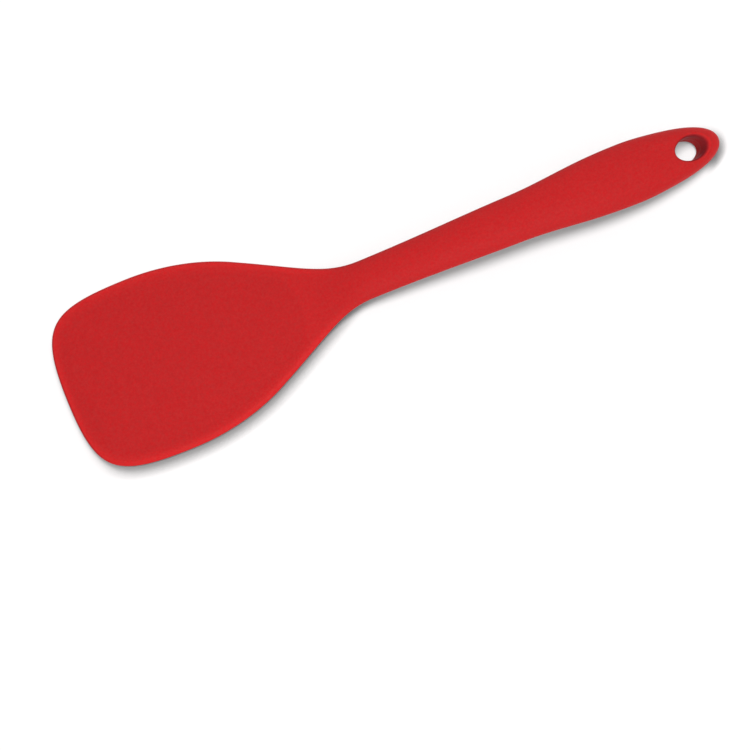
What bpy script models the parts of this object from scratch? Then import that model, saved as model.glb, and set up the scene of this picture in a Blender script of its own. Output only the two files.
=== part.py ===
"""Broad silicone turner: a one-piece moulded cover over a steel blade plate and a nylon handle core.

The tool lies face up on z = 0 with its length along X. Its blade points to -X and its handle to +X.
Places along the tool are measured from the front edge of the blade, and across it from its middle line.
"""
import math

import bmesh
import bpy
import numpy as np
from mathutils import Matrix, Vector
from mathutils.geometry import interpolate_bezier

MM = 0.001

# Plan of the tool
TOOL_LENGTH = 288.4 * MM
BLADE_WIDTH = 75.0 * MM
BLADE_WIDEST_FROM_FRONT = 40.9 * MM
SHOULDER_WIDTH = 56.0 * MM
SHOULDER_FROM_FRONT = 84.0 * MM
SHOULDER_SLOPE = -0.49
NECK_WIDTH = 16.4 * MM
NECK_FROM_FRONT = 132.7 * MM
GRIP_WIDTH = 19.5 * MM
GRIP_FROM_NECK = 65.5 * MM
GRIP_SLOPE = 0.02
SWELL_WIDTH = 25.6 * MM
SWELL_FROM_TIP = 40.4 * MM
NOSE_WIDTH = 21.1 * MM
NOSE_FROM_TIP = 18.0 * MM
NOSE_SLOPE = -0.18
CROWN_FROM_TIP = 58.4 * MM

# Side view of the tool: heights are of the middle of its thickness above the surface that it lies on
BLADE_THICKNESS = 2.7 * MM
BLADE_EDGE_HEIGHT = 1.0 * MM
FRONT_LIP_THICKNESS = 1.5 * MM
FRONT_LIP_LENGTH = 12.0 * MM
WEDGE_RISE_ABOVE = 1.1 * MM
WEDGE_RISE_BELOW = 0.3 * MM
NECK_HEIGHT = 7.3 * MM
NECK_THICKNESS = 8.6 * MM
GRIP_HEIGHT = 11.2 * MM
GRIP_THICKNESS = 11.4 * MM
CROWN_HEIGHT = 10.6 * MM
CROWN_THICKNESS = 12.2 * MM
SWELL_HEIGHT = 9.15 * MM
SWELL_THICKNESS = 12.9 * MM
NOSE_HEIGHT = 6.5 * MM
NOSE_THICKNESS = 12.0 * MM
TIP_HEIGHT = 4.65 * MM
TIP_THICKNESS = 9.6 * MM

# Rounding in from the outline, of the blade and of the end of the handle round its hole
RIM_ROUND = 2.6 * MM
RIM_ROUND_UNDER = 1.0 * MM
END_ROUND = 6.0 * MM

# Shallow panel in the upper face of the blade
PANEL_DEPTH = 0.15 * MM
PANEL_SIDE_MARGIN = 3.4 * MM
PANEL_FRONT_MARGIN = 1.9 * MM
PANEL_END_FROM_FRONT = 105.5 * MM
PANEL_END_RADIUS = 26.0 * MM
PANEL_RAMP = 2.4 * MM

# Hanging hole
HOLE_LENGTH = 13.8 * MM
HOLE_WIDTH = 9.5 * MM
HOLE_FROM_TIP = 14.8 * MM
HOLE_LIP = 2.1 * MM
HOLE_LEAN = math.radians(17.5)

# Blade plate inside the cover
PLATE_THICKNESS = 0.4 * MM
PLATE_FRONT_WALL = 8.0 * MM
PLATE_SIDE_WALL = 5.0 * MM
TANG_WIDTH = 8.0 * MM
TANG_LENGTH = 62.0 * MM
PERFORATION = 7.0 * MM
PERFORATION_ROWS = 4
PERFORATION_SPREAD = 0.62
PERFORATION_PITCH = 18.0 * MM
FIRST_PERFORATION_FROM_FRONT = 24.0 * MM

# Nylon core inside the handle
CORE_WALL = 2.1 * MM
CORE_START_BEFORE_NECK = 8.0 * MM
CORE_END_BEFORE_HOLE = 5.0 * MM

# Rivets through the core and the tang
RIVET_SHANK = 3.0 * MM
RIVET_HEAD = 5.0 * MM
RIVET_HEAD_HEIGHT = 0.7 * MM
RIVET_HEAD_SINK = 0.2 * MM
FIRST_RIVET_FROM_NECK = 12.0 * MM
LAST_RIVET_FROM_TANG_END = 10.0 * MM

# Plugs in the holes of the pins that held the core in the mould
PLUG_DIAMETER = 4.0 * MM
PLUG_SINK = 0.05 * MM

# Gap that two pieces moulded or seated together keep
GAP = 0.3 * MM

# Nearer to the outline than this, a place is on it, and the two faces meet there
ON_OUTLINE = 1e-9

# Steps of the faceted shapes
OUTLINE_STEPS = 24
ACROSS_STEPS = 20
CORNER_STEPS = 8
ROUND_STEPS = 20
LIP_STEPS = 4
SLOT_STEPS = 8
PLATE_STEPS = 12
BLADE_ROWS = 6
SHOULDER_ROWS = 11
GRIP_ROWS = 7
SWELL_ROWS = 6

# Rows crowd towards both ends of the cover by these powers
FRONT_CROWDING = 2
TIP_CROWDING = 1.6

# The first section of the blade plate lies this share of the way in, as its front is nearly straight
PLATE_FIRST_SHARE = 0.1

# The split between the core halves takes at most this share of a half
THINNEST_HALF = 0.9

NECK = NECK_FROM_FRONT
GRIP = NECK_FROM_FRONT + GRIP_FROM_NECK
CROWN = TOOL_LENGTH - CROWN_FROM_TIP
SWELL = TOOL_LENGTH - SWELL_FROM_TIP
NOSE = TOOL_LENGTH - NOSE_FROM_TIP
HOLE = TOOL_LENGTH - HOLE_FROM_TIP
TANG_END = NECK + TANG_LENGTH
SLOT_END = TANG_END + GAP
CORE_START = NECK - CORE_START_BEFORE_NECK
CORE_END = HOLE - HOLE_LENGTH / 2 - CORE_END_BEFORE_HOLE


def plan_outline():
    """Half of the outline in plan: points (along, across) from the middle of the front to the tip."""
    ahead = Vector((1.0, 0.0))
    outward = Vector((0.0, 1.0))
    knots = [
        # place on the outline, heading, reach of the curve before and after as shares of the span
        (Vector((0.0, 0.0)), outward, 0.0, 0.589),
        (Vector((BLADE_WIDEST_FROM_FRONT, BLADE_WIDTH / 2)), ahead, 0.616, 0.489),
        (Vector((SHOULDER_FROM_FRONT, SHOULDER_WIDTH / 2)), Vector((1.0, SHOULDER_SLOPE)), 0.156, 0.558),
        (Vector((NECK, NECK_WIDTH / 2)), ahead, 0.274, 0.396),
        (Vector((GRIP, GRIP_WIDTH / 2)), Vector((1.0, GRIP_SLOPE)), 0.380, 0.350),
        (Vector((SWELL, SWELL_WIDTH / 2)), ahead, 0.470, 0.309),
        (Vector((NOSE, NOSE_WIDTH / 2)), Vector((1.0, NOSE_SLOPE)), 0.223, 0.360),
        (Vector((TOOL_LENGTH, 0.0)), -outward, 0.300, 0.0),
    ]
    points = []
    for (start, start_way, _, reach), (end, end_way, end_reach, _) in zip(knots[:-1], knots[1:]):
        span = (end - start).length
        leave = start + start_way.normalized() * reach * span
        arrive = end - end_way.normalized() * end_reach * span
        points += interpolate_bezier(start, leave, arrive, end, OUTLINE_STEPS + 1)[:-1]
    points.append(knots[-1][0])
    return np.array([(point.x, point.y) for point in points])


OUTLINE = plan_outline()


def half_width(along):
    """Half the width of the tool at a place along it."""
    return np.interp(along, OUTLINE[:, 0], OUTLINE[:, 1])


def smooth_through(places, values, at):
    """A smooth curve through a few values, with no overshoot between them."""
    places = np.array(places)
    values = np.array(values)
    rise = np.diff(values) / np.diff(places)
    slope = np.zeros(len(values))
    same_way = rise[:-1] * rise[1:] > 0
    mean = 2 * rise[:-1] * rise[1:] / np.where(same_way, rise[:-1] + rise[1:], 1.0)
    slope[1:-1] = np.where(same_way, mean, 0.0)
    slope[0] = rise[0]
    slope[-1] = rise[-1]
    at = np.clip(at, places[0], places[-1])
    span = np.clip(np.searchsorted(places, at, side="right") - 1, 0, len(rise) - 1)
    width = places[span + 1] - places[span]
    t = (at - places[span]) / width
    start = values[span] * (1 + 2 * t) * (1 - t) ** 2 + slope[span] * width * t * (1 - t) ** 2
    end = values[span + 1] * t ** 2 * (3 - 2 * t) + slope[span + 1] * width * t ** 2 * (t - 1)
    return start + end


def ease(start, end, at):
    """0 before start, 1 after end, and a smooth ramp between them."""
    t = np.clip((at - start) / (end - start), 0.0, 1.0)
    return t * t * (3 - 2 * t)


# The handle seen from the side: places along it, the height of its middle there and its thickness
HANDLE_SIDE = [(NECK, NECK_HEIGHT, NECK_THICKNESS),
               (GRIP, GRIP_HEIGHT, GRIP_THICKNESS),
               (CROWN, CROWN_HEIGHT, CROWN_THICKNESS),
               (SWELL, SWELL_HEIGHT, SWELL_THICKNESS),
               (NOSE, NOSE_HEIGHT, NOSE_THICKNESS),
               (TOOL_LENGTH, TIP_HEIGHT, TIP_THICKNESS)]
SIDE_PLACES = [0.0, FRONT_LIP_LENGTH, SHOULDER_FROM_FRONT, PANEL_END_FROM_FRONT]
SIDE_PLACES += [spot for spot, _, _ in HANDLE_SIDE]


def underside(along):
    """Height of the underside on the middle line."""
    handle = [middle - thick / 2 for _, middle, thick in HANDLE_SIDE]
    return smooth_through(SIDE_PLACES, [0.0, 0.0, 0.0, WEDGE_RISE_BELOW] + handle, along)


def topside(along):
    """Height of the upper side on the middle line."""
    blade = [FRONT_LIP_THICKNESS, BLADE_THICKNESS, BLADE_THICKNESS, BLADE_THICKNESS + WEDGE_RISE_ABOVE]
    handle = [middle + thick / 2 for _, middle, thick in HANDLE_SIDE]
    return smooth_through(SIDE_PLACES, blade + handle, along)


def handle_share(along):
    """0 on the flat blade, 1 where the neck and the handle are rounded all over."""
    return ease(SHOULDER_FROM_FRONT, NECK, along)


def edge_height(along):
    """Height of the outline, which is where the tool is widest."""
    low = underside(along)
    tall = topside(along) - low
    blade_edge = np.minimum(BLADE_EDGE_HEIGHT, tall * 0.5)
    return low + blade_edge + (tall * 0.5 - blade_edge) * handle_share(along)


def edge_distance(along, across):
    """Distance in plan from a place on the tool to its outline."""
    start = OUTLINE[:-1]
    way = OUTLINE[1:] - start
    place = np.stack([np.ravel(along), np.abs(np.ravel(across))], axis=1)[:, None, :]
    share = ((place - start) * way).sum(axis=2) / (way ** 2).sum(axis=1)
    nearest = start + np.clip(share, 0.0, 1.0)[:, :, None] * way
    distance = np.linalg.norm(place - nearest, axis=2).min(axis=1)
    return distance.reshape(np.shape(along))


def quarter_ellipse(share):
    """Share of the full height at a share of the way in from the edge."""
    return np.sqrt(1 - (1 - np.clip(share, 0.0, 1.0)) ** 2)


def fullness(along, across, distance, rim_reach):
    """Share of the full height: a thin rounded rim on the blade, then an oval, then a thick rounded end."""
    rim = quarter_ellipse(distance / rim_reach)
    oval = quarter_ellipse(1 - np.abs(across) / np.maximum(half_width(along), ON_OUTLINE))
    oval = np.where(distance < ON_OUTLINE, 0.0, oval)
    end = quarter_ellipse(distance / END_ROUND)
    handle = oval + (end - oval) * ease(SWELL, NOSE, along)
    return rim + (handle - rim) * handle_share(along)


def panel_sink(along, across, distance):
    """Depth of the shallow panel in the upper face of the blade."""
    arc_centre = PANEL_END_FROM_FRONT - PANEL_END_RADIUS
    past_centre = np.maximum(along - arc_centre, 0.0)
    from_arc = PANEL_END_RADIUS - np.hypot(past_centre, across) * (past_centre > 0)
    margin = PANEL_FRONT_MARGIN + (PANEL_SIDE_MARGIN - PANEL_FRONT_MARGIN) * ease(0.0, FRONT_LIP_LENGTH, along)
    inside = np.minimum(distance - margin, from_arc)
    return PANEL_DEPTH * ease(0.0, PANEL_RAMP, inside)


def upper_surface(along, across):
    distance = edge_distance(along, across)
    edge = edge_height(along)
    rise = (topside(along) - edge) * fullness(along, across, distance, RIM_ROUND)
    return edge + rise - panel_sink(along, across, distance)


def lower_surface(along, across):
    distance = edge_distance(along, across)
    edge = edge_height(along)
    return edge - (edge - underside(along)) * fullness(along, across, distance, RIM_ROUND_UNDER)


def place(along, across, height):
    """A place on the tool as a point of the model, whose origin is under the middle of its length."""
    return Vector((along - TOOL_LENGTH / 2, across, height))


def sheet_places():
    """Rows of places that cover the plan, from the front edge to the tip."""
    step = np.diff(OUTLINE, axis=0)
    first = int(np.argmax(step[:, 0] > step[:, 1]))
    last = len(step) - int(np.argmax(step[::-1, 0] > -step[::-1, 1]))
    corner = OUTLINE[first]
    tip_corner = OUTLINE[last]
    away = np.linspace(0.0, 1.0, CORNER_STEPS + 1) ** FRONT_CROWDING
    rows = list(corner[0] + (BLADE_WIDEST_FROM_FRONT - corner[0]) * away)
    for start, end, steps in [(BLADE_WIDEST_FROM_FRONT, SHOULDER_FROM_FRONT, BLADE_ROWS),
                              (SHOULDER_FROM_FRONT, NECK, SHOULDER_ROWS),
                              (NECK, GRIP, GRIP_ROWS),
                              (GRIP, SWELL, SWELL_ROWS)]:
        rows += list(np.linspace(start, end, steps + 1)[1:])
    left = np.linspace(1.0, 0.0, CORNER_STEPS + 1)[1:] ** TIP_CROWDING
    rows += list(tip_corner[0] - (tip_corner[0] - SWELL) * left)
    share = np.sin(np.linspace(-math.pi / 2, math.pi / 2, ACROSS_STEPS + 1))
    front = OUTLINE[: first + 1]
    tip = OUTLINE[last:][::-1]
    front_bulge = corner[0] - np.interp(np.abs(share) * corner[1], front[:, 1], front[:, 0])
    tip_bulge = np.interp(np.abs(share) * tip_corner[1], tip[:, 1], tip[:, 0]) - tip_corner[0]
    grid = []
    for row in rows:
        front_share = 1 - ease(corner[0], BLADE_WIDEST_FROM_FRONT, row)
        tip_share = ease(NOSE, tip_corner[0], row) if row > NOSE else 0.0
        along = row - front_bulge * front_share + tip_bulge * tip_share
        grid.append((along, share * half_width(row)))
    return grid


def finish(bm, name, collection, smooth_angle=math.radians(35)):
    """Turn a bmesh into a closed, outward facing object, shaded smooth where it is round."""
    bmesh.ops.remove_doubles(bm, verts=bm.verts, dist=1e-7)
    bmesh.ops.recalc_face_normals(bm, faces=bm.faces)
    mesh = bpy.data.meshes.new(name)
    bm.to_mesh(mesh)
    bm.free()
    mesh.shade_smooth()
    mesh.set_sharp_from_angle(angle=smooth_angle)
    piece = bpy.data.objects.new(name, mesh)
    collection.objects.link(piece)
    return piece


def outer_form(name, collection):
    """The outer shape of the cover: an upper and a lower sheet that meet in the outline."""
    grid = sheet_places()
    bm = bmesh.new()
    for surface in (upper_surface, lower_surface):
        rows = []
        for along, across in grid:
            height = surface(along, across)
            rows.append([bm.verts.new(place(*spot)) for spot in zip(along, across, height)])
        for row, following in zip(rows[:-1], rows[1:]):
            for j in range(ACROSS_STEPS):
                bm.faces.new((row[j], row[j + 1], following[j + 1], following[j]))
    return finish(bm, name, collection)


def loft(name, collection, rings):
    """A closed solid through a row of rings, which all have as many points."""
    bm = bmesh.new()
    loops = [[bm.verts.new(point) for point in ring] for ring in rings]
    count = len(loops[0])
    for loop, following in zip(loops[:-1], loops[1:]):
        for j in range(count):
            k = (j + 1) % count
            bm.faces.new((loop[j], loop[k], following[k], following[j]))
    bm.faces.new(loops[0])
    bm.faces.new(loops[-1][::-1])
    return finish(bm, name, collection)


def turned(name, collection, profile, centre):
    """A solid turned from a profile of (radius, height) points, listed from top to bottom."""
    mesh = bpy.data.meshes.new(name)
    points = [(radius, 0.0, height) for radius, height in profile]
    mesh.from_pydata(points, [(i, i + 1) for i in range(len(points) - 1)], [])
    piece = bpy.data.objects.new(name, mesh)
    collection.objects.link(piece)
    screw = piece.modifiers.new("turn", "SCREW")
    screw.steps = ROUND_STEPS
    screw.render_steps = ROUND_STEPS
    screw.use_merge_vertices = True
    screw.merge_threshold = 1e-6
    bpy.context.view_layer.update()
    solid = bpy.data.meshes.new_from_object(piece.evaluated_get(bpy.context.evaluated_depsgraph_get()))
    bpy.data.objects.remove(piece)
    bm = bmesh.new()
    bm.from_mesh(solid)
    bpy.data.meshes.remove(solid)
    bmesh.ops.translate(bm, vec=centre, verts=bm.verts)
    return finish(bm, name, collection)


def cut(piece, cutter):
    """Cut one solid with another, which stays as a hidden guide."""
    cutter.hide_render = True
    cutter.display_type = "WIRE"
    boolean = piece.modifiers.new("cut by " + cutter.name, "BOOLEAN")
    boolean.operation = "DIFFERENCE"
    boolean.object = cutter


def material(name, colour, roughness, metallic=0.0):
    finish_of = bpy.data.materials.new(name)
    finish_of.use_nodes = True
    shader = finish_of.node_tree.nodes["Principled BSDF"]
    shader.inputs["Base Color"].default_value = (*colour, 1.0)
    shader.inputs["Roughness"].default_value = roughness
    shader.inputs["Metallic"].default_value = metallic
    finish_of.diffuse_color = (*colour, 1.0)
    return finish_of


def hole_ring(side, surface, depth, radius):
    """A ring of the hanging hole at a depth under one face; its middle leans with the end of the handle."""
    middle = HOLE + (float(side(HOLE)) - depth - float(edge_height(HOLE))) * math.tan(HOLE_LEAN)
    turns = np.linspace(0.0, math.tau, ROUND_STEPS + 1)[:-1]
    along = middle + radius * np.cos(turns)
    across = radius * HOLE_WIDTH / HOLE_LENGTH * np.sin(turns)
    return [place(*spot) for spot in zip(along, across, surface(along, across) - depth)]


def hole_spool(collection):
    """The hanging hole as a cutter that flares to a soft lip at both faces."""
    wall = HOLE_LENGTH / 2
    turns = np.linspace(0.0, math.pi / 2, LIP_STEPS + 1)
    lip = [(HOLE_LIP * (1 - math.cos(turn)), wall + HOLE_LIP * (1 - math.sin(turn))) for turn in turns]
    flare = [(-HOLE_LIP, wall + HOLE_LIP), *lip]
    rings = [hole_ring(topside, upper_surface, depth, radius) for depth, radius in flare]
    rings += [hole_ring(underside, lower_surface, -depth, radius) for depth, radius in flare[::-1]]
    return loft("hanging_hole", collection, rings)


def plate_half_width(along):
    """Half the width of the blade plate, which ends in its tang."""
    behind_front = half_width(along - PLATE_FRONT_WALL)
    blade = np.minimum(behind_front, half_width(along)) - PLATE_SIDE_WALL
    return np.where(along < SHOULDER_FROM_FRONT, blade, np.maximum(blade, TANG_WIDTH / 2))


def plate_height(along):
    """Height of the middle of the blade plate."""
    flat = BLADE_EDGE_HEIGHT + PLATE_THICKNESS / 2
    return flat + (edge_height(along) - flat) * ease(SHOULDER_FROM_FRONT, CORE_START, along)


def slot_stations():
    """Stations of the tang, and of the slot for it between the halves of the core."""
    return np.linspace(CORE_START, TANG_END, SLOT_STEPS + 1)


def plate_rings(grow):
    """Sections of the blade plate, grown by a gap for the hollow that holds it."""
    front_length = BLADE_WIDEST_FROM_FRONT - PLATE_FRONT_WALL
    away = np.linspace(PLATE_FIRST_SHARE, 1.0, CORNER_STEPS + 1) ** FRONT_CROWDING
    front = PLATE_FRONT_WALL + front_length * away
    rest = np.linspace(BLADE_WIDEST_FROM_FRONT, CORE_START, PLATE_STEPS + 1)[1:]
    stations = np.concatenate([front, rest, slot_stations()[1:]])
    rings = []
    for station in stations:
        wide = float(plate_half_width(station)) + grow
        middle = float(plate_height(station))
        half = PLATE_THICKNESS / 2 + grow
        along = station
        if station == stations[0]:
            along = station - grow
        if station == stations[-1]:
            along = station + grow
        rings.append([place(along, -wide, middle - half), place(along, wide, middle - half),
                      place(along, wide, middle + half), place(along, -wide, middle + half)])
    return rings


def perforation_places():
    """Centres of the holes that the silicone flows through, in rows of three across the plate."""
    spots = []
    for row in range(PERFORATION_ROWS):
        along = FIRST_PERFORATION_FROM_FRONT + row * PERFORATION_PITCH
        spread = float(plate_half_width(along)) * PERFORATION_SPREAD
        for across in (-spread, 0.0, spread):
            spots.append((along, across))
    return spots


def upright(name, collection, along, across, radius, low, high):
    """A cylinder that stands upright between two heights."""
    bm = bmesh.new()
    centre = place(along, across, (low + high) / 2)
    bmesh.ops.create_cone(bm, cap_ends=True, segments=ROUND_STEPS, radius1=radius, radius2=radius,
                          depth=high - low, matrix=Matrix.Translation(centre))
    return finish(bm, name, collection)


def core_stations():
    """Stations of the handle core, with one on each side of the end of the slot for the tang."""
    behind = np.linspace(SLOT_END + GAP, CORE_END, SLOT_STEPS)
    return np.concatenate([slot_stations(), [SLOT_END], behind])


def core_section(station, grow):
    """Half width, lowest and highest point of the core, or of its hollow, at a station."""
    wall = CORE_WALL - grow
    wide = float(half_width(station)) - wall
    return wide, float(underside(station)) + wall, float(topside(station)) - wall


def core_hollow(collection):
    """The hollow in the cover that holds the handle core."""
    stations = core_stations()
    rings = []
    for station in stations:
        wide, low, high = core_section(station, GAP)
        middle = float(edge_height(station))
        along = station
        if station == stations[0]:
            along = station - GAP
        if station == stations[-1]:
            along = station + GAP
        ring = []
        for k in range(ROUND_STEPS):
            angle = 2 * math.pi * k / ROUND_STEPS
            rise = high - middle if math.sin(angle) > 0 else middle - low
            ring.append(place(along, wide * math.cos(angle), middle + rise * math.sin(angle)))
        rings.append(ring)
    return loft("core_hollow", collection, rings)


def core_half(name, collection, side):
    """One half of the handle core: side is 1 for the upper half and -1 for the lower."""
    rings = []
    for station in core_stations():
        wide, low, high = core_section(station, 0.0)
        middle = float(edge_height(station))
        split = PLATE_THICKNESS / 2 + GAP if station <= SLOT_END else GAP / 2
        rise = (high if side > 0 else low) - middle
        first = math.asin(min(split / abs(rise), THINNEST_HALF))
        ring = []
        for k in range(ROUND_STEPS // 2 + 1):
            angle = first + (math.pi - 2 * first) * k / (ROUND_STEPS // 2)
            ring.append(place(station, wide * math.cos(angle) * side, middle + rise * math.sin(angle)))
        rings.append(ring)
    return loft(name, collection, rings)


def rivet_profile(station, grow):
    """Profile of a rivet with a flat head at each end, grown by a gap for its seat."""
    _, low, high = core_section(station, 0.0)
    middle = float(edge_height(station))
    reach_up = high - middle - RIVET_HEAD_SINK
    reach_down = middle - low - RIVET_HEAD_SINK
    mouth = RIVET_HEAD_SINK + GAP if grow else 0.0
    top = reach_up + mouth
    bottom = -reach_down - mouth
    shank = RIVET_SHANK / 2 + grow
    head = RIVET_HEAD / 2 + grow
    under_top = reach_up - RIVET_HEAD_HEIGHT - grow
    under_bottom = -reach_down + RIVET_HEAD_HEIGHT + grow
    return [(0.0, top), (head, top), (head, under_top), (shank, under_top),
            (shank, under_bottom), (head, under_bottom), (head, bottom), (0.0, bottom)]


def main():
    for old in list(bpy.data.objects):
        bpy.data.objects.remove(old)
    parts = bpy.data.collections.new("silicone_turner")
    guides = bpy.data.collections.new("cutters")
    bpy.context.scene.collection.children.link(parts)
    bpy.context.scene.collection.children.link(guides)

    silicone = material("red silicone", (0.54, 0.025, 0.026), 0.6)
    nylon = material("glass-filled nylon", (0.03, 0.03, 0.032), 0.55)
    steel = material("spring steel", (0.56, 0.57, 0.58), 0.35, 1.0)

    # The cover, with the hollows that hold the plate and the core
    cover = outer_form("silicone_cover", parts)
    cover.data.materials.append(silicone)
    plate_hollow = loft("plate_hollow", guides, plate_rings(GAP))
    for number, (along, across) in enumerate(perforation_places(), start=1):
        pillar = upright(f"pillar_{number}", guides, along, across, PERFORATION / 2 - GAP,
                         0.0, BLADE_THICKNESS)
        cut(plate_hollow, pillar)
    cut(cover, plate_hollow)
    cut(cover, core_hollow(guides))
    cut(cover, hole_spool(guides))

    # The blade plate with its tang and its flow holes
    plate = loft("blade_plate", parts, plate_rings(0.0))
    plate.data.materials.append(steel)
    for number, (along, across) in enumerate(perforation_places(), start=1):
        punch = upright(f"punch_{number}", guides, along, across, PERFORATION / 2, 0.0, BLADE_THICKNESS)
        cut(plate, punch)

    # The two halves of the handle core
    halves = [core_half("core_top", parts, 1), core_half("core_bottom", parts, -1)]
    for half in halves:
        half.data.materials.append(nylon)

    # Rivets through both halves and the tang
    rivet_stations = np.linspace(NECK + FIRST_RIVET_FROM_NECK, TANG_END - LAST_RIVET_FROM_TANG_END, 3)
    for name, station in zip(("front", "middle", "rear"), rivet_stations):
        centre = place(station, 0.0, float(edge_height(station)))
        rivet = turned(f"core_rivet_{name}", parts, rivet_profile(station, 0.0), centre)
        rivet.data.materials.append(steel)
        seat = turned(f"rivet_seat_{name}", guides, rivet_profile(station, GAP), centre)
        for piece in (*halves, plate):
            cut(piece, seat)

    # Plugs that close the holes of the mould's locating pins in the underside
    perforation_gap = PERFORATION_PITCH / 2
    plug_spots = [("blade_front", FIRST_PERFORATION_FROM_FRONT + perforation_gap),
                  ("blade_rear", FIRST_PERFORATION_FROM_FRONT + 2 * PERFORATION_PITCH + perforation_gap),
                  ("handle_front", (GRIP + TANG_END) / 2 + 2 * GAP),
                  ("handle_rear", SWELL)]
    for name, station in plug_spots:
        bottom = float(underside(station))
        if name.startswith("blade"):
            ceilings = [float(plate_height(station)) - PLATE_THICKNESS / 2 - GAP]
        else:
            ceilings = [core_section(station + reach, GAP)[1] for reach in (-PLUG_DIAMETER, 0.0, PLUG_DIAMETER)]
        plug = upright(f"locator_plug_{name}", parts, station, 0.0, PLUG_DIAMETER / 2,
                       bottom + PLUG_SINK, min(ceilings))
        plug.data.materials.append(silicone)
        pin = upright(f"pin_hole_{name}", guides, station, 0.0, PLUG_DIAMETER / 2 + GAP,
                      bottom - PLUG_DIAMETER, max(ceilings) + GAP)
        cut(cover, pin)


main()
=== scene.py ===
# %% [markdown]
# This lesson dresses a broad silicone turner around its packed CAD model.
# The photograph shows one skin of red silicone in one soft form. The steel plate and the nylon core inside it
# can't be seen, and are a guess from how such tools are made. The lesson makes the skin with fine smooth
# faces, seats its four plugs, and gives silicone, steel and nylon a finish each. The CAD model comes first,
# because every piece that is made here has to lie exactly where it says.

# %% Load the packed model
import math

import bmesh
import bpy
import numpy as np
from mathutils import Matrix, Vector
from mathutils.geometry import interpolate_bezier


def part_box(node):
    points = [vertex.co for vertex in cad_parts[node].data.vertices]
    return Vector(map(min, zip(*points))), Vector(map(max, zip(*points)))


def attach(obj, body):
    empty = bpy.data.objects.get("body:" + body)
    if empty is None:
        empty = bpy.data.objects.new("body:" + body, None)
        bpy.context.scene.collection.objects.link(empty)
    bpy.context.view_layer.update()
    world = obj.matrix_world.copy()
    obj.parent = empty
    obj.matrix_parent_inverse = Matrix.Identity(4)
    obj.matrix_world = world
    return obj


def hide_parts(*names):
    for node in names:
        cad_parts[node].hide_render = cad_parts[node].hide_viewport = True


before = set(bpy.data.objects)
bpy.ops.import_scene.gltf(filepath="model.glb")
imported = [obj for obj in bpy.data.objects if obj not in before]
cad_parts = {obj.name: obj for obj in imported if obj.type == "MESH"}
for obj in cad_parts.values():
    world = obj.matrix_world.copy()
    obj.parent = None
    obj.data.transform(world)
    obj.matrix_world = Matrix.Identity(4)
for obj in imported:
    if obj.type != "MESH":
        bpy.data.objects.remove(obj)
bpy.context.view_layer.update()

print("nodes:", ", ".join(sorted(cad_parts)))

# %% [markdown]
# Seen from above, the tool is a broad blade, a slim neck and a handle that swells near its end.
# Its sizes are those of the CAD source, so that the fine cover lies exactly where the plain one is. They
# could be read back from the packed mesh, but named sizes keep the curves smooth between its corners.
# Places along the tool are measured from the front edge of the blade, and across it from its middle line.

# %% Sizes in plan
MM = 0.001

TOOL_LENGTH = 288.4 * MM
BLADE_WIDTH = 75.0 * MM
BLADE_WIDEST = 40.9 * MM
SHOULDER = 84.0 * MM
SHOULDER_WIDTH = 56.0 * MM
SHOULDER_SLOPE = -0.49
NECK = 132.7 * MM
NECK_WIDTH = 16.4 * MM
GRIP = 198.2 * MM
GRIP_WIDTH = 19.5 * MM
GRIP_SLOPE = 0.02
SWELL = 248.0 * MM
SWELL_WIDTH = 25.6 * MM
NOSE = 270.4 * MM
NOSE_WIDTH = 21.1 * MM
NOSE_SLOPE = -0.18

print(f"length {TOOL_LENGTH / MM:.1f} mm, blade {BLADE_WIDTH / MM:.1f} mm, neck {NECK_WIDTH / MM:.1f} mm")

# %% [markdown]
# The plan of the tool is one smooth curve from the middle of the front edge to the middle of the tip.
# A long list of points could hold it, but a few Bezier spans with shared headings stay smooth at any fineness
# and are easy to change: a nearly straight front, full corners, a long sweep into the neck, and a swell near
# the end of the handle.

# %% Plan outline
OUTLINE_STEPS = 64


def plan_outline():
    """Half of the outline in plan: points (along, across) from the front edge to the tip."""
    ahead = Vector((1.0, 0.0))
    outward = Vector((0.0, 1.0))
    knots = [
        # place on the outline, heading, reach of the curve before and after as shares of the span
        (Vector((0.0, 0.0)), outward, 0.0, 0.589),
        (Vector((BLADE_WIDEST, BLADE_WIDTH / 2)), ahead, 0.616, 0.489),
        (Vector((SHOULDER, SHOULDER_WIDTH / 2)), Vector((1.0, SHOULDER_SLOPE)), 0.156, 0.558),
        (Vector((NECK, NECK_WIDTH / 2)), ahead, 0.274, 0.396),
        (Vector((GRIP, GRIP_WIDTH / 2)), Vector((1.0, GRIP_SLOPE)), 0.380, 0.350),
        (Vector((SWELL, SWELL_WIDTH / 2)), ahead, 0.470, 0.309),
        (Vector((NOSE, NOSE_WIDTH / 2)), Vector((1.0, NOSE_SLOPE)), 0.223, 0.360),
        (Vector((TOOL_LENGTH, 0.0)), -outward, 0.300, 0.0),
    ]
    points = []
    for (start, start_way, _, reach), (end, end_way, end_reach, _) in zip(knots[:-1], knots[1:]):
        span = (end - start).length
        leave = start + start_way.normalized() * reach * span
        arrive = end - end_way.normalized() * end_reach * span
        points += interpolate_bezier(start, leave, arrive, end, OUTLINE_STEPS + 1)[:-1]
    points.append(knots[-1][0])
    return np.array([(point.x, point.y) for point in points])


OUTLINE = plan_outline()


def half_width(along):
    return np.interp(along, OUTLINE[:, 0], OUTLINE[:, 1])


print("outline points:", len(OUTLINE))

# %% [markdown]
# The rounding of the skin depends on how far in from the edge a place is, so that distance is worked out from
# the outline. A tree of nearest points would be quicker to ask, but it answers with corners, and the distance
# to the straight pieces between them is what keeps the rounding smooth.

# %% Distance from the edge
HANDFUL = 2000


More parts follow.
